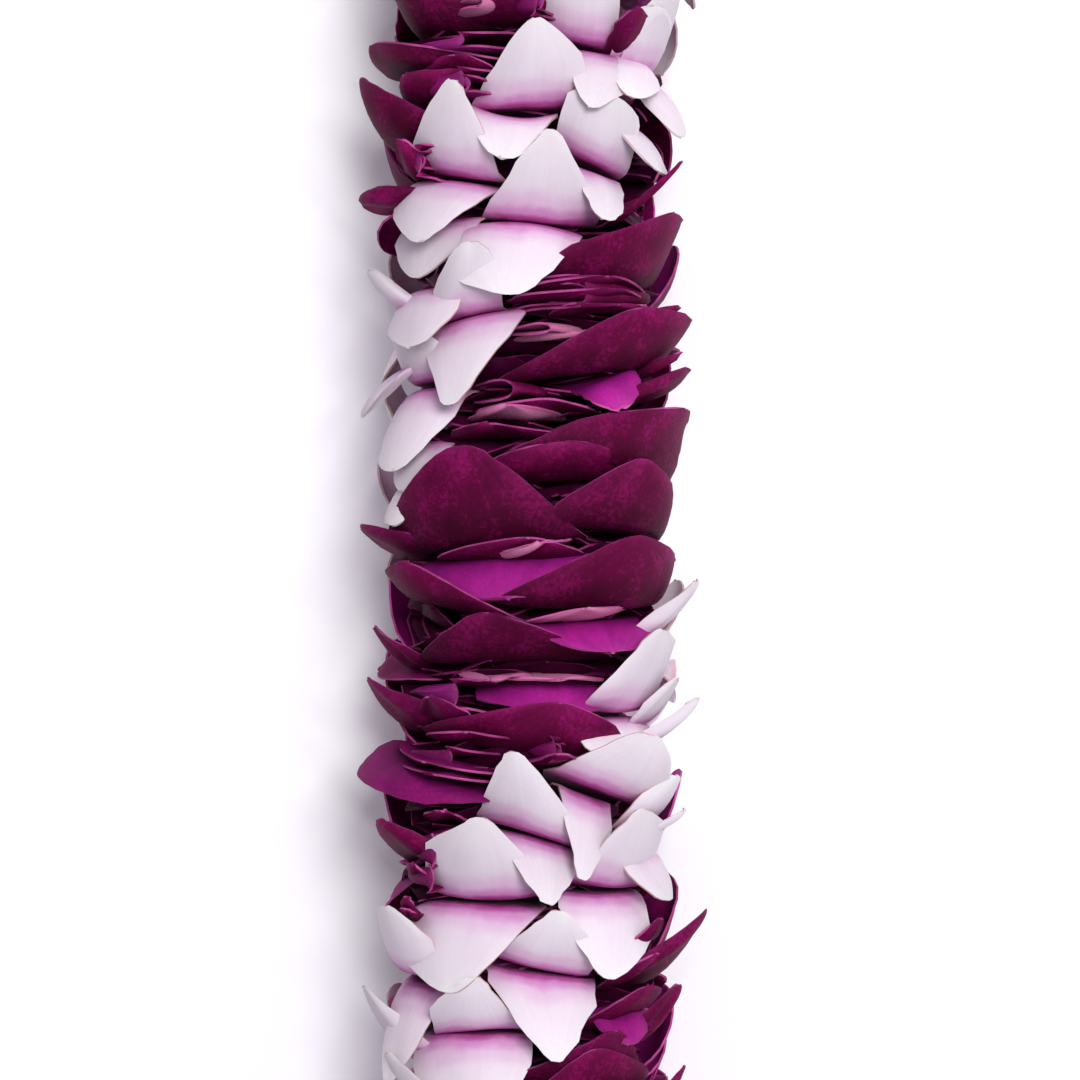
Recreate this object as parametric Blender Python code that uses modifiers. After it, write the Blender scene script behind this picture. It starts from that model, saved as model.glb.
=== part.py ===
"""Fresh orchid lei: folded purple and white blossoms strung tight on one knotted thread.

The lei is one closed loop, laid long on a table: two straight runs joined by two round bends.
White blossoms wind round the purple ones as a single right-handed spiral. Each node of
blossoms is one bunch of neighbouring blossoms of one colour: their pierced bases, stacked
on the thread, and the petals that fan out from them. Metres, +Z up.
"""

import math

import bmesh
import bpy
from mathutils import Vector

MM = 0.001

# The loop as it lies, measured along the thread.
LOOP_LENGTH = 944 * MM
BEND_RADIUS = 79 * MM
RUN_LENGTH = LOOP_LENGTH / 2 - math.pi * BEND_RADIUS
THREAD_HEIGHT = 25 * MM

# The spiral: whole turns of white in the loop, white underneath at the middle of each run.
SPIRAL_TURNS = 8
SPIRAL_PITCH = LOOP_LENGTH / SPIRAL_TURNS
SPIRAL_START = math.pi - math.tau * (LOOP_LENGTH / 4) / SPIRAL_PITCH

# The bunches, and the rings of folded blossoms in each.
BUNCHES = 24
BUNCH_LENGTH = LOOP_LENGTH / BUNCHES
RINGS_PER_BUNCH = 2
RING_SPACING = BUNCH_LENGTH / RINGS_PER_BUNCH

# Thread and knot.
THREAD_RADIUS = 0.6 * MM
THREAD_STEPS_PER_BEND = 24
KNOT_TURNS = 2.5
KNOT_STEPS_PER_TURN = 8
KNOT_COIL_RADIUS = 0.95 * MM
KNOT_LENGTH = 3.6 * MM
TAIL_LENGTH = 6.5 * MM

# The pierced bases that stack up on the thread.
BASE_BORE_RADIUS = 1.3 * MM
BASE_RADIUS = 4.5 * MM
BASE_STEPS = 5
BASE_END_GAP = 0.5 * MM
KNOT_GAP = 6 * MM
BASE_SIDE_GAP = 0.9 * MM

PETAL_THICKNESS = 1.2 * MM
TABLE_THICKNESS = 20 * MM
WELD = 0.001 * MM


class Kind:
    """One colour of blossom: where it sits round the thread and what its petals measure."""

    def __init__(self, name, sector, spread, arc_steps, petal, color, roughness):
        self.name = name
        self.sector = sector  # (from, to) round the thread, from the white stripe's middle
        self.spread = spread  # where the blossoms of a ring stand inside that sector
        self.arc_steps = arc_steps  # flats round the bases
        self.petal = petal  # (radius, half width, offset along the thread) at base, bend, tip
        self.color = color
        self.roughness = roughness


WHITE_HALF_SECTOR = math.radians(72)

WHITE = Kind(
    name="white_blossoms",
    sector=(-WHITE_HALF_SECTOR, WHITE_HALF_SECTOR),
    spread=[math.radians(-36), math.radians(36)],
    arc_steps=2,
    petal=[
        (2.6 * MM, 1.0 * MM, 1.2 * MM),
        (17.5 * MM, 8.5 * MM, 2.0 * MM),
        (28.0 * MM, 0.0 * MM, 8.0 * MM),
    ],
    color=(0.80, 0.66, 0.78, 1),
    roughness=0.5,
)
PURPLE = Kind(
    name="purple_blossoms",
    sector=(WHITE_HALF_SECTOR, math.tau - WHITE_HALF_SECTOR),
    spread=[math.radians(128), math.radians(232)],
    arc_steps=3,
    petal=[
        (2.6 * MM, 1.8 * MM, 1.2 * MM),
        (18.5 * MM, 14.5 * MM, 2.4 * MM),
        (28.0 * MM, 5.5 * MM, 7.4 * MM),
    ],
    color=(0.11, 0.004, 0.035, 1),
    roughness=0.55,
)


def clear_scene():
    """Removes whatever the file opened with."""
    for obj in list(bpy.data.objects):
        bpy.data.objects.remove(obj)


def new_collection(name):
    """A collection in the scene."""
    collection = bpy.data.collections.new(name)
    bpy.context.scene.collection.children.link(collection)
    return collection


def make_material(name, color, roughness):
    """A plain Principled material."""
    material = bpy.data.materials.new(name)
    material.use_nodes = True
    shader = material.node_tree.nodes["Principled BSDF"]
    shader.inputs["Base Color"].default_value = color
    shader.inputs["Roughness"].default_value = roughness
    shader.inputs["Metallic"].default_value = 0
    return material


def thread_frame(along):
    """The thread's middle and the direction away from the loop's inside, this far along it.

    The loop starts in the middle of the near bend, where the knot is, and runs
    anticlockwise seen from above: up the right-hand run and down the left-hand one.
    """
    quarter_bend = math.pi / 2 * BEND_RADIUS
    along %= LOOP_LENGTH
    half = along % (LOOP_LENGTH / 2)
    side = 1 if along < LOOP_LENGTH / 2 else -1
    if half < quarter_bend:
        turn = half / BEND_RADIUS - math.pi / 2
        centre = Vector((0, -RUN_LENGTH / 2, 0))
    elif half < quarter_bend + RUN_LENGTH:
        turn = 0
        centre = Vector((0, half - quarter_bend - RUN_LENGTH / 2, 0))
    else:
        turn = (half - quarter_bend - RUN_LENGTH) / BEND_RADIUS
        centre = Vector((0, RUN_LENGTH / 2, 0))
    outward = Vector((math.cos(turn), math.sin(turn), 0))
    middle = side * (centre + outward * BEND_RADIUS)
    return middle + Vector((0, 0, THREAD_HEIGHT)), side * outward


def stripe_angle(along):
    """Where the middle of the white stripe is round the thread: 0 on top, a quarter turn outward."""
    return SPIRAL_START + math.tau * along / SPIRAL_PITCH


def lei_point(along, angle, radius, sideways=0.0):
    """A point of the lei: along the thread, round it, out from it, and across that direction."""
    middle, outward = thread_frame(along)
    up = Vector((0, 0, 1))
    away = up * math.cos(angle) + outward * math.sin(angle)
    across = outward * math.cos(angle) - up * math.sin(angle)
    return middle + away * radius + across * sideways


def new_object(name, mesh, collection, material=None):
    """An object for a mesh, with its material."""
    obj = bpy.data.objects.new(name, mesh)
    collection.objects.link(obj)
    if material:
        mesh.materials.append(material)
    return obj


def as_helper(obj):
    """Marks an object as a modelling helper, which isn't part of the lei."""
    obj.hide_render = True
    obj.display_type = "WIRE"
    return obj


def mesh_from(bm, name):
    """A finished mesh from a bmesh, with its faces pointing out where it is closed."""
    bmesh.ops.recalc_face_normals(bm, faces=bm.faces)
    mesh = bpy.data.meshes.new(name)
    bm.to_mesh(mesh)
    bm.free()
    return mesh


def tube_mesh(name, points, radius, closed):
    """A round tube along the points, as a closed mesh."""
    curve = bpy.data.curves.new(name, "CURVE")
    curve.dimensions = "3D"
    curve.bevel_depth = radius
    curve.bevel_resolution = 1
    curve.use_fill_caps = True
    spline = curve.splines.new("POLY")
    spline.points.add(len(points) - 1)
    for spline_point, place in zip(spline.points, points):
        spline_point.co = (*place, 1)
    spline.use_cyclic_u = closed
    guide = bpy.data.objects.new(name, curve)
    bpy.context.scene.collection.objects.link(guide)
    graph = bpy.context.evaluated_depsgraph_get()
    mesh = bpy.data.meshes.new_from_object(guide.evaluated_get(graph))
    bpy.data.objects.remove(guide)
    bm = bmesh.new()
    bm.from_mesh(mesh)
    bmesh.ops.remove_doubles(bm, verts=bm.verts, dist=WELD)
    bpy.data.meshes.remove(mesh)
    return mesh_from(bm, name)


def loop_points():
    """The thread's route: corners close together round the bends and none along the runs."""
    bend = math.pi * BEND_RADIUS
    bend_starts = [LOOP_LENGTH / 2 - bend / 2, LOOP_LENGTH - bend / 2]
    return [
        lei_point(start + bend * step / THREAD_STEPS_PER_BEND, 0, 0)
        for start in bend_starts
        for step in range(THREAD_STEPS_PER_BEND + 1)
    ]


def knot_points():
    """The tie's route: a tail, a few turns round the thread, and the other tail."""
    tail_ends = [(-1, 0.0), (1, math.tau * KNOT_TURNS)]
    steps = round(KNOT_TURNS * KNOT_STEPS_PER_TURN)
    coil = []
    for step in range(steps + 1):
        share = step / steps
        along = (share - 0.5) * KNOT_LENGTH
        coil.append(lei_point(along, math.tau * KNOT_TURNS * share, KNOT_COIL_RADIUS))
    tails = []
    for side, angle in tail_ends:
        half_way = lei_point(side * KNOT_LENGTH * 0.45, angle + side * 0.7, TAIL_LENGTH * 0.4)
        end = lei_point(side * KNOT_LENGTH * 0.3, angle + side * 0.9, TAIL_LENGTH)
        tails.append([half_way, end])
    return [tails[0][1], tails[0][0], *coil, *tails[1]]


def make_thread(collection, helpers):
    """The thread with its two ends tied together, as one solid."""
    cotton = make_material("cotton_thread", (0.75, 0.72, 0.66, 1), 0.85)
    loop_mesh = tube_mesh("thread", loop_points(), THREAD_RADIUS, True)
    thread = new_object("thread", loop_mesh, collection, cotton)
    knot_mesh = tube_mesh("knot", knot_points(), THREAD_RADIUS, False)
    knot = as_helper(new_object("knot", knot_mesh, helpers))
    tie = thread.modifiers.new("Knot", "BOOLEAN")
    tie.operation = "UNION"
    tie.object = knot
    return thread


def base_profile(kind):
    """The bases' cross section, as (angle from the stripe's middle, radius) corners.

    It is one sector of a ring round the thread. Its flat sides are pulled in by half the
    gap at either radius, so that the two colours' bases lie side by side and don't touch.
    """
    start, end = kind.sector
    corners = []
    for radius, backwards in ((BASE_BORE_RADIUS, False), (BASE_RADIUS, True)):
        pull = BASE_SIDE_GAP / 2 / radius
        angles = [
            start + pull + (end - start - 2 * pull) * step / kind.arc_steps
            for step in range(kind.arc_steps + 1)
        ]
        corners += [(angle, radius) for angle in (reversed(angles) if backwards else angles)]
    return corners


def bases_mesh(kind, bunch, name):
    """The stacked bases of one bunch: a wall bent round the cross section, its ends filled."""
    start_gap = KNOT_GAP if bunch == 0 else BASE_END_GAP
    end_gap = KNOT_GAP if bunch == BUNCHES - 1 else BASE_END_GAP
    start = bunch * BUNCH_LENGTH + start_gap / 2
    end = (bunch + 1) * BUNCH_LENGTH - end_gap / 2
    profile = base_profile(kind)

    bm = bmesh.new()
    corners = len(profile)
    wall = bmesh.ops.create_grid(bm, x_segments=corners, y_segments=BASE_STEPS, size=1)
    for vert in wall["verts"]:
        angle, radius = profile[round((vert.co.x + 1) / 2 * corners) % corners]
        along = start + (end - start) * (vert.co.y + 1) / 2
        vert.co = lei_point(along, stripe_angle(along) + angle, radius)
    bmesh.ops.remove_doubles(bm, verts=bm.verts, dist=WELD)
    bmesh.ops.holes_fill(bm, edges=[edge for edge in bm.edges if edge.is_boundary])
    return mesh_from(bm, name)


def add_petal(bm, kind, ring_along, angle, side):
    """One petal as an open sheet, bent out of its ring towards one side.

    Args:
        ring_along: where its ring of blossoms is, along the thread.
        angle: the direction it grows in, round the thread.
        side: 1 for the fold's front petal, -1 for its back one.
    """
    rows = len(kind.petal) - 1
    sheet = bmesh.ops.create_grid(bm, x_segments=1, y_segments=rows, size=1)
    for vert in sheet["verts"]:
        row = round((vert.co.y + 1) / 2 * rows)
        radius, half_width, offset = kind.petal[row]
        vert.co = lei_point(ring_along + side * offset, angle, radius, half_width * vert.co.x)


def petals_mesh(kind, bunch, name):
    """Every petal of one bunch, two to a folded blossom, as open sheets."""
    bm = bmesh.new()
    for ring in range(RINGS_PER_BUNCH):
        ring_along = bunch * BUNCH_LENGTH + (ring + 0.5) * RING_SPACING
        for spread in kind.spread:
            for side in (-1, 1):
                add_petal(bm, kind, ring_along, stripe_angle(ring_along) + spread, side)
    bmesh.ops.remove_doubles(bm, verts=bm.verts, dist=WELD)
    mesh = bpy.data.meshes.new(name)
    bm.to_mesh(mesh)
    bm.free()
    return mesh


def make_bunch(kind, bunch, table, collection, helpers, material):
    """One bunch of one colour: its bases with its petals joined on, pressed flat on the table."""
    name = f"{kind.name}_{bunch + 1:02d}"
    sheets = petals_mesh(kind, bunch, f"{name}_petals")
    petals = as_helper(new_object(sheets.name, sheets, helpers))
    thicken = petals.modifiers.new("Thickness", "SOLIDIFY")
    thicken.thickness = PETAL_THICKNESS
    thicken.offset = 0
    blossoms = new_object(name, bases_mesh(kind, bunch, name), collection, material)
    join = blossoms.modifiers.new("Petals", "BOOLEAN")
    join.operation = "UNION"
    join.object = petals
    press = blossoms.modifiers.new("Underside", "BOOLEAN")
    press.operation = "DIFFERENCE"
    press.object = table
    return blossoms


def make_table(helpers):
    """What the lei lies on: it presses the lowest petals flat, and isn't part of the lei."""
    bm = bmesh.new()
    bmesh.ops.create_cube(bm, size=1)
    reach = LOOP_LENGTH
    bmesh.ops.scale(bm, verts=bm.verts, vec=(reach, reach, TABLE_THICKNESS))
    bmesh.ops.translate(bm, verts=bm.verts, vec=(0, 0, -TABLE_THICKNESS / 2))
    return as_helper(new_object("table_top", mesh_from(bm, "table_top"), helpers))


def main():
    """Builds the lei."""
    clear_scene()
    lei = new_collection("orchid_lei")
    helpers = new_collection("helpers")
    table = make_table(helpers)
    make_thread(lei, helpers)
    for kind in (WHITE, PURPLE):
        material = make_material(f"{kind.name}_petal", kind.color, kind.roughness)
        for bunch in range(BUNCHES):
            make_bunch(kind, bunch, table, lei, helpers, material)


main()
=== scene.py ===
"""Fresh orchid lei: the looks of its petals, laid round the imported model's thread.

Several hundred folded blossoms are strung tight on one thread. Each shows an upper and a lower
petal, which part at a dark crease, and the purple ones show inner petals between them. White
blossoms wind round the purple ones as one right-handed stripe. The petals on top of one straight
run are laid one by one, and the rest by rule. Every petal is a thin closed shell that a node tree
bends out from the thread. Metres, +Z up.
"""

from __future__ import annotations

import logging
import math
import random
from dataclasses import dataclass, field, fields
from enum import Enum

import bpy
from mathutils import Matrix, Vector

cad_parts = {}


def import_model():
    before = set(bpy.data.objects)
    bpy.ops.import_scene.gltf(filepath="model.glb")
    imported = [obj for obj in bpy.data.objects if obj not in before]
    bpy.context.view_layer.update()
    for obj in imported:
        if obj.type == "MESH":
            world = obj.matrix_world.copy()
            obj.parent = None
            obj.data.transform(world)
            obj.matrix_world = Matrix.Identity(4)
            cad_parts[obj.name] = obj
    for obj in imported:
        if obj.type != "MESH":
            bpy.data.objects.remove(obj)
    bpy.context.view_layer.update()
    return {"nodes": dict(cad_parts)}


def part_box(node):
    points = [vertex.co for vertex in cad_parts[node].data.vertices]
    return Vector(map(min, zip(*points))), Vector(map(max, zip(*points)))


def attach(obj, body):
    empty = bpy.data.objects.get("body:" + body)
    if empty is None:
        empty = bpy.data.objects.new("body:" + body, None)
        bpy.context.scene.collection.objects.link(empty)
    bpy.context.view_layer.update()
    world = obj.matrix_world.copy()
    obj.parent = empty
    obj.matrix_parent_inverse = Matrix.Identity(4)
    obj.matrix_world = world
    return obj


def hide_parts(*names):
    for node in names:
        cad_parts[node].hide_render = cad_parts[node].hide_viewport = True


log = logging.getLogger("lei")

MM = 0.001


def add_object(name: str, data: bpy.types.ID) -> bpy.types.Object:
    """Adds an object to the scene."""
    added = bpy.data.objects.new(name, data)
    bpy.context.scene.collection.objects.link(added)
    return added


def add_material(name: str) -> tuple[bpy.types.Material, bpy.types.Node]:
    """Adds a material.

    Args:
        name: the material's name.

    Returns:
        The material, and its shader node.
    """
    material = bpy.data.materials.new(name)
    material.use_nodes = True
    return material, material.node_tree.nodes["Principled BSDF"]


class Bloom(Enum):
    """The two colours of blossom, by the name that their CAD nodes start with."""

    WHITE = "white_blossoms"
    PURPLE = "purple_blossoms"


@dataclass
class Petal:
    """One petal, as the node tree reads it: where it grows and how it bends.

    Lengths are in metres and angles in radians. A petal leaves the thread straight outwards as
    a narrow stem, reaches its crease, and from there its blade leans along the thread.
    """

    along: float  # its root, along the thread
    angle: float  # its root, round the thread: 0 on top, a quarter turn on the outer side
    lean: float  # how far its tip lies along the thread from its root, signed
    half_width: float  # at its widest
    crease: float  # how far out the blade starts
    tip: float  # how far out the blade ends
    bend: float = math.radians(72)  # the turn from standing up to lying over
    shift: float = 0.0  # how far the tip swings to one side
    tilt: float = 0.0  # the slope of the crease
    bow: float = 0.0  # how far the crease's ends run along the thread from its middle
    cup: float = 2.5 * MM  # how much lower the side edges lie than the middle
    wrap: float = 1.0  # 1 where the petal follows the strand's roundness, 0 where it is flat
    shoulder: float = 0.3  # how far along the blade its sides start to close in
    skew: float = 0.0  # how much later the right side closes in than the middle
    soft: float = 0.1  # how rounded its shoulders are
    end: float = 0.1  # how broad its far end is, against its widest
    round_tip: float = 16.0  # how tight the corners of its far end are
    stem: float = 1.5 * MM  # half width at the root
    fold: float = 0.0  # half the gap inside, where it is folded lengthwise into a hairpin
    level: float = 0.0  # 1 where its midline shows straight from above
    twist: float = 0.0  # how much further out one edge stands than the middle, at the tip
    ruffle: float = 0.5 * MM
    phase: float = 0.0
    tone: float = 0.5  # 0 to 1, its own shade
    glow: float = 0.3  # 0 to 1, how bright its inner face is: on purple its own magenta, on white the painted light of the lighter back colours
    pale: float = 0.0  # 0 to 1, how far it has faded to the pale lip colour
    inner: float = 0.0  # 0 to 1, how far it darkens to the heart colour: partly the inner petals' own deep colour, partly painted shade
    coarse: float = 0.0  # 1 for a hidden petal, which has few faces


def tone_near(tone: float, spread: float, draw: random.Random) -> float:
    """A tone near another, 0 to 1."""
    return min(1.0, max(0.0, tone + draw.gauss(0, spread)))


@dataclass
class Strand:
    """The thread's route: two straight runs joined by two round bends."""

    bend_radius: float
    run_length: float
    height: float = 25 * MM
    thread_radius: float = 0.6 * MM
    steps_per_bend: int = 180
    steps_per_run: int = 60

    @classmethod
    def from_frame(cls) -> Strand:
        """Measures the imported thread."""
        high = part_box("thread")[1]
        bend_radius = high.x - cls.thread_radius
        return cls(bend_radius, 2 * (high.y - high.x))

    @property
    def length(self) -> float:
        """The whole way round."""
        return 2 * self.run_length + math.tau * self.bend_radius

    def guide(self) -> bpy.types.Object:
        """A closed curve along the route, from the middle of the near bend and anticlockwise.

        Returns:
            A helper object, which the caller removes.
        """
        half = self.run_length / 2
        quarter = self.steps_per_bend // 2
        turns = [math.pi / 2 * step / quarter for step in range(quarter)]
        rises = [self.run_length * step / self.steps_per_run for step in range(self.steps_per_run)]
        radius = self.bend_radius
        corners = [
            (radius * math.cos(turn - math.pi / 2), -half + radius * math.sin(turn - math.pi / 2))
            for turn in turns
        ]
        corners += [(radius, -half + rise) for rise in rises]
        corners += [(radius * math.cos(turn), half + radius * math.sin(turn)) for turn in turns]
        corners += [(-x, -y) for x, y in corners]
        curve = bpy.data.curves.new("strand_guide", "CURVE")
        curve.dimensions = "3D"
        spline = curve.splines.new("POLY")
        spline.points.add(len(corners) - 1)
        for place, (x, y) in zip(spline.points, corners):
            place.co = (x, y, self.height, 1)
        spline.use_cyclic_u = True
        return add_object("strand_guide", curve)


class Number:
    """A number field of a node tree. Arithmetic on it adds Math nodes."""

    def __init__(self, graph: Graph, socket: bpy.types.NodeSocket) -> None:
        """Wraps a number that a node gives.

        Args:
            graph: the tree it belongs to.
            socket: the output that gives it.
        """
        self.graph = graph
        self.socket = socket

    def math(self, operation: str, *others: Number | float) -> Number:
        """Another number, from this one and the others."""
        return self.graph.math(operation, self, *others)

    def between(self, low: float, high: float) -> Number:
        """This number, kept between two others."""
        return self.math("MAXIMUM", low).math("MINIMUM", high)

    def __add__(self, other: Number | float) -> Number:
        """Sum."""
        return self.math("ADD", other)

    def __sub__(self, other: Number | float) -> Number:
        """Difference."""
        return self.math("SUBTRACT", other)

    def __rsub__(self, other: float) -> Number:
        """Difference."""
        return self.graph.math("SUBTRACT", other, self)

    def __mul__(self, other: Number | float) -> Number:
        """Product."""
        return self.math("MULTIPLY", other)

    def __truediv__(self, other: Number | float) -> Number:
        """Quotient."""
        return self.math("DIVIDE", other)

    def __pow__(self, other: Number | float) -> Number:
        """Power."""
        return self.math("POWER", other)

    __radd__ = __add__
    __rmul__ = __mul__


class Graph:
    """A node tree under construction, with short ways to add and link nodes."""

    STEP = (40, -10)  # how far each new node lies from the last one

    def __init__(self, tree: bpy.types.NodeTree) -> None:
        """Starts on a tree.

        Args:
            tree: the tree that gets the nodes.
        """
        self.tree = tree

    def node(self, kind: str, links: dict | None = None, **settings: object) -> bpy.types.Node:
        """Adds a node.

        Args:
            kind: the name of the node's type.
            links: input name or index to a value, an output socket or a Number.
            settings: the node's own properties.

        Returns:
            The node.
        """
        node = self.tree.nodes.new(kind)
        node.location = [step * len(self.tree.nodes) for step in self.STEP]
        for name, value in settings.items():
            setattr(node, name, value)
        for name, value in (links or {}).items():
            self.feed(node.inputs[name], value)
        return node

    def feed(self, socket: bpy.types.NodeSocket, value: object) -> None:
        """Links an output to an input, or sets the input to a plain value."""
        if isinstance(value, Number):
            value = value.socket
        if isinstance(value, bpy.types.NodeSocket):
            self.tree.links.new(value, socket)
        else:
            socket.default_value = value

    def math(self, operation: str, *values: Number | float) -> Number:
        """A Math node's result."""
        node = self.node("ShaderNodeMath", dict(enumerate(values)), operation=operation)
        return Number(self, node.outputs[0])

    def vector(
        self, operation: str, *values: object, scale: Number | None = None
    ) -> bpy.types.NodeSocket:
        """A Vector Math node's result, with a Scale input where the operation has one."""
        node = self.node("ShaderNodeVectorMath", dict(enumerate(values)), operation=operation)
        if scale is not None:
            self.feed(node.inputs["Scale"], scale)
        return node.outputs["Vector"]

    def combine(self, *parts: Number | bpy.types.NodeSocket) -> bpy.types.NodeSocket:
        """A vector from its three parts."""
        return self.node("ShaderNodeCombineXYZ", dict(zip("XYZ", parts))).outputs[0]

    def here(self) -> bpy.types.NodeSocket:
        """The shaded place, in the object's own frame."""
        return self.node("ShaderNodeTexCoord").outputs["Object"]

    def noise(self, place: bpy.types.NodeSocket, **inputs: float) -> Number:
        """A noise texture's value, 0 to 1."""
        return Number(self, self.node("ShaderNodeTexNoise", {"Vector": place} | inputs).outputs["Fac"])


class PetalTree:
    """The geometry node tree that grows petals along a strand, one for each point it is given."""

    NAME = "petals_along_strand"
    SIZES = (
        "Strand Length", "Thickness", "Stem Share", "Root Radius",
        "Tip Half Width", "Tear", "Press Height", "Floor Gap",
    )
    COUNTS = ("Columns", "Rows", "Coarse Columns", "Coarse Rows")
    STEM_FLARE = 1.4  # how late the stem widens to the blade
    SHOULDERS = (-0.5, 0.9)  # the earliest and the latest
    TORN = (2.0, 7.0, 7.0)  # how fine the torn edge is: across, outwards and from petal to petal
    WAVE = (2.7, 2.0, math.tau)  # how fast the ruffle turns in and out, in the same order
    RIPPLE = (5.1, -3.0, 17.0)  # and how fast it turns along the thread
    LEAST_RADIUS = 4 * MM  # the tightest that a petal wraps
    WELD = 0.001 * MM
    SHARP = math.radians(60)  # the turn from face to face that shows as an edge

    def __init__(self) -> None:
        """Builds the tree."""
        self.tree = bpy.data.node_groups.new(self.NAME, "GeometryNodeTree")
        self.graph = Graph(self.tree)
        self._add_interface()
        self._add_nodes()

    def _add_interface(self) -> None:
        """Names the tree's inputs and its output."""
        add = self.tree.interface.new_socket
        add("Roots", in_out="INPUT", socket_type="NodeSocketGeometry")
        add("Strand", in_out="INPUT", socket_type="NodeSocketObject")
        add("Finish", in_out="INPUT", socket_type="NodeSocketMaterial")
        for name in self.SIZES:
            add(name, in_out="INPUT", socket_type="NodeSocketFloat")
        for name in self.COUNTS:
            add(name, in_out="INPUT", socket_type="NodeSocketInt")
        add("Petals", in_out="OUTPUT", socket_type="NodeSocketGeometry")

    def _named(self, name: str) -> Number:
        """A number stored on the geometry."""
        node = self.graph.node("GeometryNodeInputNamedAttribute", {"Name": name}, data_type="FLOAT")
        return Number(self.graph, node.outputs["Attribute"])

    def _stored(
        self, geometry: object, name: str, value: object, domain: str = "POINT"
    ) -> bpy.types.NodeSocket:
        """The geometry with one more number stored on it."""
        node = self.graph.node(
            "GeometryNodeStoreNamedAttribute",
            {"Geometry": geometry, "Name": name, "Value": value},
            data_type="FLOAT",
            domain=domain,
        )
        return node.outputs["Geometry"]

    def _sheet(self, columns: bpy.types.NodeSocket, rows: bpy.types.NodeSocket) -> bpy.types.NodeSocket:
        """A flat unit sheet that knows how far across and how far outwards each point is."""
        g = self.graph
        counts = {"Vertices X": columns, "Vertices Y": rows}
        grid = g.node("GeometryNodeMeshGrid", {"Size X": 2.0, "Size Y": 2.0} | counts)
        place = g.node("ShaderNodeSeparateXYZ", {0: g.node("GeometryNodeInputPosition").outputs[0]})
        across = Number(g, place.outputs["X"])
        outward = Number(g, place.outputs["Y"]) * 0.5 + 0.5
        sheet = self._stored(grid.outputs["Mesh"], "across", across)
        return self._stored(sheet, "outward", outward)

    def _wave(self, turns: tuple[float, float, float], *places: Number) -> Number:
        """A sine wave over a petal, from a place across it, one outwards and the petal's phase."""
        across, outward, phase = (place * turn for place, turn in zip(places, turns))
        return (across + outward + phase).math("SINE")

    def _place(self, given: bpy.types.Node) -> bpy.types.NodeSocket:
        """Where a point of a petal goes, from its own numbers and its place on the sheet."""
        g = self.graph
        size = {name: Number(g, given.outputs[name]) for name in self.SIZES}
        petal = {spec.name: self._named(spec.name) for spec in fields(Petal)}
        across = self._named("across")
        outward = self._named("outward")

        rise = (outward / size["Stem Share"]).math("MINIMUM", 1.0)
        blade = ((outward - size["Stem Share"]) / (1.0 - size["Stem Share"])).math("MAXIMUM", 0.0)
        blade = (blade * (math.pi / 2)).math("SINE")
        turn = blade * petal["bend"]

        # Along the thread and outwards: straight up the stem, then over in an arc.
        over = (1.0 - turn.math("COSINE")) / (1.0 - petal["bend"].math("COSINE"))
        over = over.between(0.0, 1.0)
        up = turn.math("SINE") / petal["bend"].math("SINE")
        radius = size["Root Radius"] + (petal["crease"] - size["Root Radius"]) * rise
        radius = radius + (petal["tip"] - petal["crease"]) * up

        # Sideways: a narrow stem, widest at the crease, then in to a rounded end with a torn edge.
        corners = (1.0 - over ** petal["round_tip"]).math("MAXIMUM", 0.0).math("SQRT")
        shoulder = (petal["shoulder"] + petal["skew"] * across).between(*self.SHOULDERS)
        share = petal["end"] + (1.0 - petal["end"]) * (1.0 - over) / (1.0 - shoulder)
        share = share.math("SMOOTH_MIN", 1.0, petal["soft"]) * corners
        width = size["Tip Half Width"] + (petal["half_width"] - size["Tip Half Width"]) * share
        width = petal["stem"] + (width - petal["stem"]) * rise ** self.STEM_FLARE
        places = across, outward, petal["phase"]
        where = g.combine(*(place * fine for place, fine in zip(places, self.TORN)))
        torn = g.noise(where, Detail=4.0) - 0.5
        width = width + torn * size["Tear"] * across * across * rise
        is_folded = petal["fold"].math("GREATER_THAN", 0.0)
        breadth = (across + (1.0 - 2.0 * across * across - across) * is_folded) * width
        swing = petal["shift"] * over

        # The cup, the ruffle and the slope and bow of the crease.
        edge = (across * share) ** 2.0
        radius = radius - petal["cup"] * edge * rise + petal["twist"] * across * share * blade
        wave, ripple = (
            self._wave(turns, across, blade, petal["phase"]) for turns in (self.WAVE, self.RIPPLE)
        )
        radius = radius + petal["ruffle"] * wave * share * blade
        along = petal["along"] + petal["lean"] * over + petal["tilt"] * breadth * rise
        along = along + petal["bow"] * edge * rise + petal["ruffle"] * ripple * share * blade
        along = along + petal["fold"] * across * rise

        # Round the strand, which the petal's width follows.
        drawn_in = ((petal["crease"] / radius).math("MINIMUM", 1.0) - 1.0) * petal["level"]
        wrapped = breadth * petal["wrap"] + swing
        turned = petal["angle"] * (1.0 + drawn_in) + wrapped / radius.math("MAXIMUM", self.LEAST_RADIUS)
        flat = breadth * (1.0 - petal["wrap"])
        along = along.math("FLOORED_MODULO", size["Strand Length"])
        place = self._beside_strand(given.outputs["Strand"], along, turned, radius, flat)
        return self._pressed(place, size["Press Height"], size["Floor Gap"])

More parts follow.
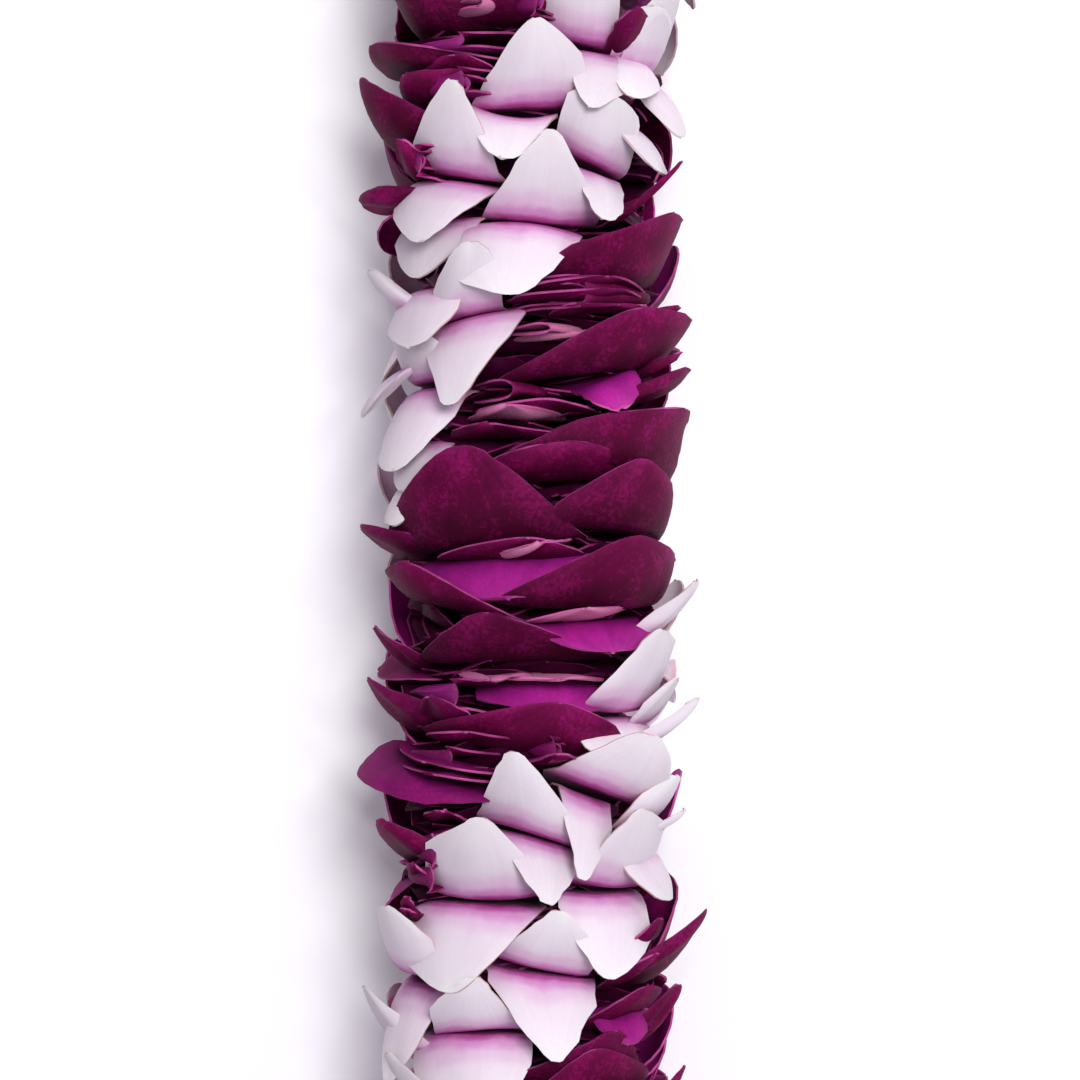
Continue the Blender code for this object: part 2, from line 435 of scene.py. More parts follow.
    def _beside_strand(
        self, strand: bpy.types.NodeSocket, along: Number, turned: Number, out: Number, flat: Number
    ) -> bpy.types.NodeSocket:
        """A place beside the strand.

        Args:
            strand: the guide curve.
            along: how far along it.
            turned: how far round it, in radians.
            out: how far out from it.
            flat: how far to one side of there.

        Returns:
            The place.
        """
        g = self.graph
        curve = g.node("GeometryNodeObjectInfo", {"Object": strand}).outputs["Geometry"]
        sample = g.node("GeometryNodeSampleCurve", {"Curves": curve, "Length": along}, mode="LENGTH")
        upward = (0.0, 0.0, 1.0)
        outside = g.vector("CROSS_PRODUCT", sample.outputs["Tangent"], upward)
        cosine, sine = turned.math("COSINE"), turned.math("SINE")
        away = g.vector(
            "ADD", g.vector("SCALE", upward, scale=cosine), g.vector("SCALE", outside, scale=sine)
        )
        beside = g.vector(
            "SUBTRACT", g.vector("SCALE", outside, scale=cosine), g.vector("SCALE", upward, scale=sine)
        )
        place = g.vector("ADD", sample.outputs["Position"], g.vector("SCALE", away, scale=out))
        return g.vector("ADD", place, g.vector("SCALE", beside, scale=flat))

    def _pressed(
        self, place: bpy.types.NodeSocket, start: Number, gap: Number
    ) -> bpy.types.NodeSocket:
        """A place pressed up from the surface that the lei lies on.

        Args:
            place: where it would be without the surface.
            start: the height below which it is pressed.
            gap: how far above the surface the lowest petals end up.

        Returns:
            The place.
        """
        g = self.graph
        split = g.node("ShaderNodeSeparateXYZ", {0: place})
        height = Number(g, split.outputs["Z"])
        room = start - gap
        below = (height - start).math("MINIMUM", 0.0)
        height = height.math("MAXIMUM", gap + room * (below / room).math("EXPONENT"))
        return g.combine(split.outputs["X"], split.outputs["Y"], height)

    def _shell(
        self, sheets: bpy.types.NodeSocket, thickness: bpy.types.NodeSocket
    ) -> bpy.types.NodeSocket:
        """The open sheets as closed shells. Each face stores its side: 1 front, 0 back, 0.5 rim."""
        g = self.graph
        inputs = {"Mesh": sheets, "Offset Scale": thickness, "Individual": False}
        lifted = g.node("GeometryNodeExtrudeMesh", inputs, mode="FACES")
        side = Number(g, lifted.outputs["Top"]) + Number(g, lifted.outputs["Side"]) * 0.5
        front = self._stored(lifted.outputs["Mesh"], "side", side, "FACE")
        back = g.node("GeometryNodeFlipFaces", {"Mesh": self._stored(sheets, "side", 0.0, "FACE")})
        both = g.node("GeometryNodeJoinGeometry")
        for part in (front, back.outputs["Mesh"]):
            self.tree.links.new(part, both.inputs["Geometry"])
        welded = {"Geometry": both.outputs["Geometry"], "Distance": self.WELD}
        return g.node("GeometryNodeMergeByDistance", welded).outputs["Geometry"]

    def _add_nodes(self) -> None:
        """Sheets on the points, bent into place, thickened and finished."""
        g = self.graph
        given = g.node("NodeGroupInput")
        is_coarse = self._named("coarse")
        spread = g.node("GeometryNodeJoinGeometry")
        for prefix, chosen in (("", 1.0 - is_coarse), ("Coarse ", is_coarse)):
            sheet = self._sheet(given.outputs[f"{prefix}Columns"], given.outputs[f"{prefix}Rows"])
            chosen = chosen.math("GREATER_THAN", 0.5)
            sown = g.node(
                "GeometryNodeInstanceOnPoints",
                {"Points": given.outputs["Roots"], "Selection": chosen, "Instance": sheet},
            )
            self.tree.links.new(sown.outputs["Instances"], spread.inputs["Geometry"])
        real = g.node("GeometryNodeRealizeInstances", {"Geometry": spread.outputs["Geometry"]})
        bent = g.node(
            "GeometryNodeSetPosition", {"Geometry": real.outputs[0], "Position": self._place(given)}
        )
        shell = self._shell(bent.outputs["Geometry"], given.outputs["Thickness"])
        finish = given.outputs["Finish"]
        finished = g.node("GeometryNodeSetMaterial", {"Geometry": shell, "Material": finish})
        g.node("NodeGroupOutput", {"Petals": finished.outputs["Geometry"]})

    def grow(self, name: str, petals: list[Petal], settings: dict[str, object]) -> bpy.types.Object:
        """Grows petals into one finished piece.

        Args:
            name: the piece's name.
            petals: the petals in it.
            settings: the tree's inputs, by name.

        Returns:
            The piece as a plain mesh, with no modifier left on it.
        """
        roots = bpy.data.meshes.new(f"{name}_roots")
        roots.vertices.add(len(petals))
        for spec in fields(Petal):
            stored = roots.attributes.new(spec.name, "FLOAT", "POINT")
            stored.data.foreach_set("value", [getattr(petal, spec.name) for petal in petals])
        grower = add_object(f"{name}_roots", roots)
        modifier = grower.modifiers.new("Petals", "NODES")
        modifier.node_group = self.tree
        sockets = {item.name: item.identifier for item in self.tree.interface.items_tree}
        for label, value in settings.items():
            modifier[sockets[label]] = value
        evaluated = grower.evaluated_get(bpy.context.evaluated_depsgraph_get())
        mesh = bpy.data.meshes.new_from_object(evaluated)
        bpy.data.objects.remove(grower)
        for spec in fields(Petal):
            if spec.name not in PetalFinish.READS and spec.name in mesh.attributes:
                mesh.attributes.remove(mesh.attributes[spec.name])
        mesh.name = name
        mesh.shade_smooth()
        mesh.set_sharp_from_angle(angle=self.SHARP)
        return add_object(name, mesh)


Color = tuple[float, float, float, float]
Stop = tuple[float, Color]


def srgb(red: int, green: int, blue: int) -> Color:
    """A colour from its display values, 0 to 255, as the linear values that nodes take."""
    def linear(value: int) -> float:
        """One channel."""
        share = value / 255
        return share / 12.92 if share <= 0.04045 else ((share + 0.055) / 1.055) ** 2.4

    return (linear(red), linear(green), linear(blue), 1.0)


PALE_LIP = srgb(220, 140, 178)


@dataclass(frozen=True)
class PetalFinish:
    """How one colour of petal looks, from its heart out to its rim."""

    READS = ("across", "outward", "side", "tone", "glow", "pale", "inner")
    FAN = {"across": 9.0, "outward": 1.6, "tone": 40.0}  # how close the veins lie, each way
    BLOTCH_SCALE = 170.0
    GRAIN_SCALE = 2600.0
    DOT_SCALE = 1300.0
    BLOTCH_SHIFT = 0.10  # how far the blotches shift the gradient along the blade
    TONE_SHIFT = 0.05  # and how far the petal's own tone does
    BACK_GLOW = 1.1  # how much of the petal's glow its back shows
    FRONT_GLOW = 0.12
    FADE = 0.8  # how strong the pale lip colour gets
    SIDE_POWER = 6.0  # how narrow the paler side edges are
    TIP_POWER = 14.0
    EDGE_SHARE = 0.45  # how strong they are
    RIM_SHARE = 0.75
    RIM_PATCHES = 2.5  # how much the rim comes and goes
    DOT_CONTRAST = 4.5
    DOT_PATCHES = 4.0  # how much the specks come and go
    TONE_SHADE = 0.5  # how much the petal's own tone lightens it
    VEIN_SHADE = 0.8  # and how much its veins do, against its mottle
    VEIN_ROUGHNESS = 0.2
    VEIN_RELIEF = 0.6
    GRAIN_RELIEF = 0.35
    BACK_BELOW = 0.25  # a face's side is below this on the back
    FRONT_ABOVE = 0.75  # and above this on the front
    MIX_INPUTS = (0, 6, 7)  # a colour Mix node's factor and its two colours
    MIX_OUTPUT = 2

    name: str
    front: tuple[Stop, ...]  # along the blade of the front face, from stem to tip
    back: tuple[Stop, ...]  # the same for the back face: on purple petals their own bright magenta inner face, on white ones a lighter copy of the front, painted light
    heart: Color  # the inner petals, which stand in the dark: their own deep colour, darkened further as painted shade
    rim: Color  # the cut edge
    inner_rim: Color  # the cut edge of an inner petal
    edge: Color  # the outermost part of the face
    speck: Color
    speck_share: float  # how strong the specks are
    speckle: float  # how strong the fine grain is
    mottle: float  # how strong the large blotches and the veins are
    roughness: float
    sheen: float
    sheen_tint: Color
    specular: float
    subsurface: float

    def _ramp(self, g: Graph, place: Number, stops: tuple[Stop, ...]) -> bpy.types.NodeSocket:
        """A colour ramp along the petal."""
        node = g.node("ShaderNodeValToRGB", {0: place})
        ramp = node.color_ramp
        ramp.interpolation = "EASE"
        while len(ramp.elements) < len(stops):
            ramp.elements.new(0.5)
        for element, (position, color) in zip(ramp.elements, stops):
            element.position = position
            element.color = color
        return node.outputs["Color"]

    def _mix(
        self, g: Graph, share: object, first: object, second: object, blend: str = "MIX"
    ) -> bpy.types.NodeSocket:
        """Two colours mixed."""
        node = g.node("ShaderNodeMix", data_type="RGBA", blend_type=blend)
        for place, value in zip(self.MIX_INPUTS, (share, first, second)):
            g.feed(node.inputs[place], value)
        return node.outputs[self.MIX_OUTPUT]

    def _color(
        self, g: Graph, read: dict[str, Number], blotch: Number, grain: Number, veins: Number
    ) -> bpy.types.NodeSocket:
        """The petal's colour.

        Args:
            g: the material's nodes.
            read: the petal's own numbers.
            blotch: large soft noise, about 0.
            grain: the finest noise, about 0.
            veins: noise that fans out along the blade, about a half.

        Returns:
            The colour.
        """
        own_tone = read["tone"] - 0.5
        height = read["outward"] + blotch * self.BLOTCH_SHIFT + own_tone * self.TONE_SHIFT
        front = self._ramp(g, height, self.front)
        back = self._ramp(g, height, self.back)
        # The back face takes the back colours by the glow: real magenta on purple petals, painted light
        # on white ones.
        is_back = read["side"].math("LESS_THAN", self.BACK_BELOW)
        bright = is_back * read["glow"] * self.BACK_GLOW + read["glow"] * self.FRONT_GLOW
        bright = bright.math("MINIMUM", 1.0)
        color = self._mix(g, bright, front, back)
        color = self._mix(g, read["pale"] * self.FADE, color, PALE_LIP)

        # Paler towards the side edges and the tip, with a coloured cut rim.
        sides = read["across"].math("ABSOLUTE") ** self.SIDE_POWER
        ends = (read["outward"] ** self.TIP_POWER).math("MAXIMUM", sides * read["outward"])
        color = self._mix(g, ends * self.EDGE_SHARE, color, self.edge)
        # Inner petals darken to the heart colour: partly their own, partly painted shade of the heart.
        color = self._mix(g, read["inner"] * (1.0 - read["pale"]), color, self.heart)
        is_rim = read["side"].math("GREATER_THAN", self.BACK_BELOW)
        is_rim = is_rim * read["side"].math("LESS_THAN", self.FRONT_ABOVE)
        patchy = (self.RIM_SHARE + blotch * self.RIM_PATCHES).between(0.0, 1.0)
        rim = self._mix(g, read["inner"], self.rim, self.inner_rim)
        color = self._mix(g, is_rim * patchy, color, rim)

        # Fine specks, as on velvet, gather in the upper half: the petal's own grain, lighter on purple
        # as painted sparkle of its cells.
        dots = g.noise(g.here(), Scale=self.DOT_SCALE, Detail=3.0) - 0.5
        dots = (dots * self.DOT_CONTRAST + blotch * self.DOT_PATCHES).between(0.0, 1.0)
        dots = dots * read["outward"] * (1.0 - is_rim) * (1.0 - read["pale"]) * (1.0 - read["inner"])
        color = self._mix(g, dots * self.speck_share, color, self.speck)

        shade = 1.0 + blotch * self.mottle + own_tone * self.TONE_SHADE + grain * self.speckle
        shade = shade + (veins - 0.5) * self.mottle * self.VEIN_SHADE
        shade_color = g.node("ShaderNodeCombineColor", dict.fromkeys(("Red", "Green", "Blue"), shade))
        return self._mix(g, 1.0, color, shade_color.outputs[0], "MULTIPLY")

    def material(self) -> bpy.types.Material:
        """The finished material."""
        material, shader = add_material(self.name)
        g = Graph(material.node_tree)
        read = {
            name: Number(g, g.node("ShaderNodeAttribute", attribute_name=name).outputs["Fac"])
            for name in self.READS
        }

        # Large soft blotches shift the gradient and the shade, and veins fan out along the blade.
        blotch = g.noise(g.here(), Scale=self.BLOTCH_SCALE, Detail=3.0) - 0.5
        grain = g.noise(g.here(), Scale=self.GRAIN_SCALE, Detail=2.0) - 0.5
        fan = [read[name] * spread for name, spread in self.FAN.items()]
        veins = g.noise(g.combine(*fan), Scale=1.0, Detail=3.0)

        relief = veins * self.VEIN_RELIEF + grain * self.GRAIN_RELIEF
        bump = g.node("ShaderNodeBump", {"Height": relief, "Strength": 0.25, "Distance": 0.25 * MM})
        looks = {
            "Base Color": self._color(g, read, blotch, grain, veins),
            "Roughness": (veins - 0.5) * self.VEIN_ROUGHNESS + self.roughness,
            "Normal": bump.outputs["Normal"],
            "Sheen Weight": self.sheen,
            "Sheen Roughness": 0.45,
            "Sheen Tint": self.sheen_tint,
            "Subsurface Weight": self.subsurface,
            "Subsurface Radius": (1.0, 0.45, 0.7),
            "Subsurface Scale": 1.2 * MM,
            "Specular IOR Level": self.specular,
        }
        for name, value in looks.items():
            g.feed(shader.inputs[name], value)
        return material


WHITE_FINISH = PetalFinish(
    name="white_petal",
    front=(
        (0.0, srgb(46, 12, 44)),
        (0.35, srgb(84, 10, 60)),
        (0.385, srgb(138, 26, 104)),
        (0.425, srgb(182, 76, 152)),
        (0.475, srgb(204, 138, 188)),
        (0.54, srgb(212, 180, 204)),
        (0.62, srgb(214, 202, 211)),
        (1.0, srgb(216, 212, 213)),
    ),
    # The white back is the front made lighter: painted light on the lower petals, whose backs face the
    # lamp. The magenta at the crease is the petal's own.
    back=(
        (0.0, srgb(46, 12, 44)),
        (0.35, srgb(90, 12, 72)),
        (0.38, srgb(148, 44, 130)),
        (0.42, srgb(186, 92, 170)),
        (0.47, srgb(214, 158, 204)),
        (0.54, srgb(230, 202, 224)),
        (0.60, srgb(236, 218, 229)),
        (1.0, srgb(238, 231, 233)),
    ),
    heart=srgb(92, 12, 66),
    rim=srgb(196, 150, 146),
    inner_rim=srgb(146, 62, 118),
    edge=srgb(226, 220, 220),
    speck=srgb(214, 192, 206),
    speck_share=0.18,
    speckle=0.05,
    mottle=0.14,
    roughness=0.62,
    sheen=0.03,
    sheen_tint=srgb(255, 245, 255),
    specular=0.3,
    subsurface=0.15,
)
PURPLE_FINISH = PetalFinish(
    name="purple_petal",
    # The front darkens to almost black towards the stem: its own dark wine, deepened as painted shade at
    # the base.
    front=(
        (0.0, srgb(26, 4, 18)),
        (0.36, srgb(40, 4, 22)),
        (0.50, srgb(64, 3, 30)),
        (0.68, srgb(86, 3, 46)),
        (0.86, srgb(100, 7, 58)),
        (1.0, srgb(116, 22, 76)),
    ),
    back=(
        (0.0, srgb(50, 6, 44)),
        (0.36, srgb(84, 10, 70)),
        (0.46, srgb(132, 20, 112)),
        (0.70, srgb(156, 30, 128)),
        (0.90, srgb(158, 44, 130)),
        (1.0, srgb(176, 80, 156)),
    ),
    heart=srgb(60, 4, 40),
    rim=srgb(176, 76, 138),
    inner_rim=srgb(138, 38, 100),
    edge=srgb(126, 32, 88),
    speck=srgb(150, 22, 104),
    speck_share=0.4,
    speckle=0.5,
    mottle=0.7,
    roughness=0.6,
    sheen=0.04,
    sheen_tint=srgb(220, 30, 150),
    specular=0.06,
    subsurface=0.04,
)


Spot = tuple[float, float]


@dataclass(frozen=True)
class Laid:
    """One listed petal of the front run.

    Its spots are in millimetres, as they show from straight above: (to the right of the thread,
    up the run from its middle). A hairpin's left and right are swapped where it opens to the left.
    """

    bloom: Bloom
    left: Spot  # the left end of its crease
    right: Spot  # and the right end
    tip: Spot
    left_side: float = 0.25  # how far along the blade its left side starts to close in
    right_side: float = 0.25  # and its right side
    end: float = 0.14  # how broad its tip is, against its widest
    glow: float = 0.3
    pale: float = 0.0
    proud: float = 0.0  # how much further out than usual its tip stands
    deep: float = 0.0  # how much further in than usual its crease lies
    bend: float = 74.0  # degrees
    tone: float = 0.5
    fold: float = 0.0
    inner: float = 0.0

    CREASE_RADIUS = {Bloom.WHITE: 19.5, Bloom.PURPLE: 18.5}
    WRAP = {Bloom.WHITE: 0.35, Bloom.PURPLE: 0.75}
    SOFT = {Bloom.WHITE: 0.12, Bloom.PURPLE: 0.25}
    RUFFLE = {Bloom.WHITE: 1, Bloom.PURPLE: 2}
    TIP_RADIUS = 27.3
    CUP = 2.2
    STEEPEST = 0.985  # the sine of the furthest angle round the thread

    def angle_at(self, x: float, radius: float) -> float:
        """How far round the thread a spot is that shows this far to its right."""
        return math.asin(max(-self.STEEPEST, min(self.STEEPEST, x / radius)))

    def petal(self, middle: float, draw: random.Random) -> Petal:
        """The petal that shows so.

        Args:
            middle: the run's middle, along the thread.
            draw: gives the small chance differences.

        Returns:
            The petal, as the node tree reads it.
        """
        crease = self.CREASE_RADIUS[self.bloom] - self.deep
        furthest = max(abs(self.left[0]), abs(self.right[0]))
        seen_at = max(crease, furthest / self.STEEPEST)
        ends = self.angle_at(self.left[0], seen_at), self.angle_at(self.right[0], seen_at)
        angle = sum(ends) / 2
        width = seen_at * (ends[1] - ends[0])
        tip = max(self.TIP_RADIUS + self.proud, abs(self.tip[0]) / self.STEEPEST)
        along = (self.left[1] + self.right[1]) / 2
        return Petal(
            along=middle + along * MM,
            angle=angle,
            level=1.0,
            lean=(self.tip[1] - along) * MM,
            half_width=width / 2 * MM,
            crease=crease * MM,
            tip=tip * MM,
            bend=math.radians(self.bend),
            shift=(self.angle_at(self.tip[0], tip) * tip - angle * crease) * MM,
            tilt=(self.right[1] - self.left[1]) / width,
            bow=draw.gauss(0, 0.5) * MM,
            cup=self.CUP * MM,
            wrap=self.WRAP[self.bloom],
            twist=draw.gauss(0, 1.0) * MM,
            shoulder=(self.left_side + self.right_side) / 2,
            skew=(self.right_side - self.left_side) / 2,
            soft=self.SOFT[self.bloom],
            end=self.end,
            round_tip=draw.uniform(12.0, 20.0),
            ruffle=draw.uniform(0.2, 0.5) * self.RUFFLE[self.bloom] * MM,
            phase=draw.random(),
            fold=self.fold * MM,
            tone=tone_near(self.tone, 0.12, draw),
            glow=self.glow,
            pale=self.pale,
            inner=self.inner,
        )


def white(*shape: Spot | float, **more: float) -> Laid:
    """A listed white petal: left, right, tip, and then left_side, right_side and end."""
    return Laid(Bloom.WHITE, *shape, **more)


def purple(*shape: Spot | float, **more: float) -> Laid:
    """A listed purple petal, from the same."""
    return Laid(Bloom.PURPLE, *shape, **more)


def hairpin(middle: Spot, length: float, gap: float, **more: float) -> Laid:
    """A purple petal folded lengthwise and seen on edge.

    It opens to the right, or to the left where its length is below 0.

    Args:
        middle: where the middle of it shows.
        length: across the run.
        gap: half the space inside.
        more: other fields of the petal.

    Returns:
        The petal.
    """
    left = middle[0] - length / 2, middle[1]
    right = middle[0] + length / 2, middle[1]
    # A hairpin is somewhat darkened to the heart colour, partly painted shade.
    settings = {"bend": 30.0, "inner": 0.25, "proud": -1.5} | more
    return Laid(Bloom.PURPLE, left, right, (middle[0], middle[1] + 0.5), fold=gap, **settings)


# The front run's petals, from its far end to its near end.
FRONT_RUN: tuple[Laid, ...] = (
    # The upper crossing of the white stripe.
    white((-9.3, 70.8), (8.3, 71.2), (1.4, 84.4), 0.0, 0.55),
    white((-9.3, 70.3), (4.6, 68.4), (-3.9, 61.8), 0.4, 0.1, 0.3),
    white((2.4, 83.2), (14, 80.6), (9.5, 97), 0.3, 0.8, 0.3),
    white((6.2, 80.6), (17, 80.1), (10.6, 70.1), 0.2, 0.6, proud=0.6),
    white((4.3, 64.8), (15.5, 59.6), (13.5, 72.8), 0.75, 0.8, 0.6, proud=-0.6),
    white((9.3, 60.3), (14.8, 59.2), (13.6, 54), right_side=0.5, proud=-1),
    white((-7.4, 52.9), (10.9, 51.4), (3.6, 66.4), 0.0, 0.15, 0.1, proud=0.8),
    white((-9.9, 53), (8.7, 51.3), (-3.5, 39.7), 0.75, 0.1, 0.3, proud=0.4),
    white((6.2, 61.9), (14.6, 59.2), (12.6, 52), 0.1, 0.5, 0.2, proud=1.2),
    white((-18.1, 61.7), (-3.4, 58.8), (-12.1, 74.8), 0.1, 0.0, 0.1),
    white((-18.5, 60.9), (-3.4, 58.1), (-18.2, 48.7), 0.55, -0.1, proud=0.5),
    white((-21, 53.5), (-9, 53), (-18.6, 43.2), 0.4, 0.3, tone=0.1, proud=-2),
    white((-14.8, 36), (-4.5, 38.2), (-9.3, 48.4), 0.5, 0.5, 0.25),
    white((-16.2, 35.1), (0.4, 38.7), (-12.5, 22), 0.1, 0.0, 0.12, proud=0.5),
    white((-23, 41.5), (-13.5, 42.3), (-19.3, 31.7), 0.7, 0.5, 0.3, proud=0.6),
    white((-22, 26), (-13.5, 26.8), (-21, 35.5), 0.7, 0.6, 0.4, tone=0.2, proud=-2.5),
    white((-22, 25.2), (-11.5, 25.6), (-22.6, 11.3), 0.7, 0.35, 0.3, proud=0.6),
    white((-27.3, 29), (-23.5, 30), (-28, 20.6), 0.5, 0.6, 0.5, tone=0.3),
    white((-20.5, 17), (-13, 16.5), (-20.5, 8), 0.5, 0.5, 0.3, tone=0.2, proud=-1.5),
    white((-22, 11.5), (-17, 10.5), (-23, 2.5), end=0.3, tone=0.3),
    white((-25.4, 38), (-21.4, 38), (-26.4, 45.2), 0.7, 0.6, 0.5),
    white((15.5, 79.5), (22, 81.5), (20.5, 88), 0.5, 0.7, 0.5),
    white((17.5, 81), (23.5, 79.5), (17.4, 72.3), 0.4, 0.5, 0.25, proud=0.6),
    white((18.5, 77), (24, 77.5), (24, 92), 0.6, 0.6, 0.4, proud=0.5),
    white((18.5, 77), (24, 77), (25.8, 67.4), 0.6, 0.6, 0.3),
    white((17.2, 70.2), (23.4, 67.2), (21.7, 60.8), 0.5, 0.7, 0.35),
    # The lower crossing.
    white((6.7, -27.8), (19.5, -28.6), (21.9, -14.7), -0.2, 0.8, 0.2, deep=-2, proud=0.8),
    white((21.5, -17), (26, -16), (28.2, -6.8), 0.4, 0.6, 0.3),
    white((7.4, -29.1), (19.5, -29.4), (17.5, -36), 0.5, 0.9, 0.6, proud=-1.5),
    white((3.3, -37.8), (18.4, -44.6), (20.5, -32), 0.0, 0.5, 0.3, proud=1.4, deep=-1.5),
    white((5.2, -40.3), (13.6, -43.8), (8.9, -55), 0.05, 0.3, 0.1, proud=0.8),
    white((19.5, -31), (24, -30.5), (24.5, -23), 0.6, 0.6, 0.5, tone=0.4),
    white((18.5, -35), (24, -34), (28.6, -26.6), 0.2, 0.8, 0.4),
    white((19, -47.5), (25.5, -47), (24.3, -39.2), 0.7, 0.7, 0.5),
    white((19, -50), (25, -48.5), (25.8, -45.2), 0.5, 0.5, 0.3),
    white((18.5, -50.4), (25.5, -51.5), (23.3, -59.7), 0.6, 0.6, 0.3),
    white((-7.8, -45.2), (7.5, -50), (-1.8, -34.3), 0.1, 0.45),
    white((-5.2, -47.1), (7.3, -50.5), (3.3, -58.8), 0.15, 0.3, 0.12, proud=0.9),
    white((-15.1, -59.1), (3.3, -58.8), (-7.8, -44.9), 0.6, 0.2, 0.15),
    white((-17.4, -59.7), (3.1, -59.8), (-12.9, -73.6), 0.65, -0.05, 0.15, proud=0.3),
    white((5.5, -56.1), (18.3, -58.4), (19, -44.1), 0.0, 0.75, 0.2),
    white((4.4, -57.8), (18.1, -58.9), (13.7, -71.4), 0.15, 0.6, 0.2, proud=0.6),
    white((-6.1, -68.2), (9.7, -72), (5.2, -60), 0.0, 0.5, 0.1, proud=-0.3),
    white((-6.7, -69.9), (10.6, -72.3), (4.6, -84.3), 0.2, 0.25, 0.1, proud=0.8),
    white((-14.7, -81.3), (-1.1, -79.3), (-9, -70.8), 0.6, 0.1),
    white((-17.4, -81.9), (0.8, -80.4), (-9, -96), 0.4, 0.3, 0.3),
    white((-25.5, -71.5), (-15.5, -72.3), (-23.4, -60.8), 0.75, 0.6, 0.45, deep=-3),
    white((-25.5, -85), (-19.5, -85.5), (-27.4, -75.2), 0.7, 0.6, 0.4),
    white((-20.5, -73.8), (-13.2, -73.5), (-23.3, -90), 0.3, 0.1, 0.2),
    # The purple above the upper crossing.
    purple((-18.2, 84), (-6.2, 84), (-21, 98), 0.4, 0.4, 0.2),
    purple((-11.2, 85), (3.9, 85), (-3, 92), glow=0.5, bend=50),
    purple((-5.9, 89), (7.8, 89), (2, 97), 0.3, 0.3, 0.2),
    purple((-23.5, 77.8), (-4, 79.2), (-26.2, 83.3), 0.6, -0.25, 0.15, deep=-3, proud=-0.5),
    purple((-18, 76), (-5, 77), (-12, 79.5), 0.3, 0.2, bend=40, proud=-3),
    purple((-20, 70.5), (-9, 75), (-20, 77), 0.5, 0.3, proud=-2, bend=50),
    purple((-14.5, 71.2), (-8, 73.5), (-11, 75), glow=0.8, bend=30, proud=-4),
    purple((-22, 63.8), (-14.5, 68.6), (-28, 77.7), 0.35, 0.0, 0.15, deep=-3),
    purple((-18.2, 60), (-13.8, 60), (-21, 66), bend=50),
    purple((-22, 54.6), (-18.5, 57.8), (-28.2, 57.2), 0.6, 0.6, 0.5, glow=0.6),
    purple((12.5, 51.4), (17.2, 54.5), (25.3, 62.8), 0.2, 0.3, 0.25, proud=1.0, deep=-2),
    purple((12.3, 80), (17, 80), (18.3, 87), 0.6, 0.6, 0.3, glow=0.6, proud=0.5),
    # The purple between the two crossings.
    purple((1.8, 41.9), (22.5, 41.4), (24.2, 54.4), 0.45, 0.85, deep=-2),
    purple((-2.6, 41), (16.9, 41), (13, 43), 0.5, 0.5, 0.3, bend=30),
    purple((-3.7, 39), (16.5, 39), (14, 41), 0.5, 0.5, 0.3, bend=30),
    purple((-2.7, 37.5), (16, 37.5), (15, 38.5), 0.5, 0.5, 0.3, bend=30),
    purple((16.7, 36), (18.2, 36), (25, 39)),
    purple((-8.4, 25.2), (22.3, 30.2), (18.4, 38.1), -0.1, 0.75, deep=-3),
    purple((-2.9, 33), (13.5, 33), (10, 34), 0.4, 0.4, 0.2, bend=30, pale=0.7, tone=1.0, proud=-3),
    purple((16.9, 27), (18.2, 27), (25.5, 31.5)),
    purple((9, 20.5), (25, 25), (26, 28.6), 0.4, 0.7, 0.3, deep=-4),
    purple((8, 24.4), (17.6, 28.9), (15.4, 21.5), 0.0, 0.7, 0.2, glow=1.0, tone=0.9, proud=1.0, deep=-3),
    purple((-8.6, 21), (12, 21), (3, 23), bend=30),
    purple((-9.5, 20), (5.9, 20), (-3, 22), bend=30, pale=0.8, tone=1.0),
    purple((-12, 17), (6.8, 17), (-6, 19), bend=30),
    purple((1.5, 14.5), (28.3, 9.2), (27, 21.7), 0.5, 0.85, 0.3, deep=-6),
    purple((-10, 9), (15.5, 10.5), (6, 15.8), 0.4, 0.5, 0.4),
    purple((4.5, 3), (24.7, 0.4), (19, 13.3), 0.3, 0.5, deep=-5, end=0.1),
    purple((-22.5, -2.9), (9.8, 1.2), (-11, 15.3), 0.15, -0.05, 0.15, tone=0.1, proud=0.8, deep=-4),
    purple((-22.5, -3.8), (-16.5, -1), (-28, 2.2), 0.5, 0.3, 0.35, glow=0.5),
    purple((-14.7, -3), (8.6, -3), (0, 0.5), bend=40),
    purple((-6, -3.5), (7.4, 0), (2, -0.3), pale=0.9, bend=40, tone=1.0),
    purple((-17.5, -4.2), (17, -1), (-3, -9.5), 0.7, 0.5, 0.5, glow=1.0, proud=-2.5),
    purple((-8.8, -10.8), (23.1, -11.4), (18.4, 0.7), -0.15, 0.6, deep=-4, proud=0.6),
    purple((-20.5, -8.7), (2.5, -13.6), (-19.2, -3.8), 0.4, -0.3, 0.15, deep=-2, proud=0.4),
    purple((-0.5, -13.8), (15.8, -12), (9, -11), pale=0.9, bend=30, tone=1.0),
    purple((0, -13.6), (19, -12.8), (14, -18.2), 0.3, 0.7, 0.4, glow=1.0),
    purple((-19, -20.5), (17.5, -19.2), (-6.7, -11.7), -0.3, -0.4, 0.08, tone=0.2),
    purple((-18.4, -22), (-15.8, -20.5), (-25.6, -14.5), 0.4, 0.4, 0.3, glow=0.5),
    purple((-8.6, -22), (12, -22), (5, -22.5), pale=0.8, bend=30, tone=1.0),
    purple((-11.2, -22), (1.9, -22), (-6, -22.5), pale=0.6, bend=30, tone=1.0),
    purple((-8.6, -23), (14.7, -23), (5, -28), 0.5, 0.5, 0.3, glow=0.8, proud=-2.5),
    purple((-18, -33), (-13, -29.5), (-26.8, -23.3), 0.2, 0.2, 0.2, glow=0.8),
    purple((-16.7, -30), (-7.7, -30), (-16, -25.5), glow=1.0, bend=50),
    purple((-17, -32.3), (11.3, -36), (5.3, -26.3), 0.3, 0.5, deep=-1),
    purple((-20.5, -34), (-4, -38), (-17, -36), bend=30, proud=1.2),
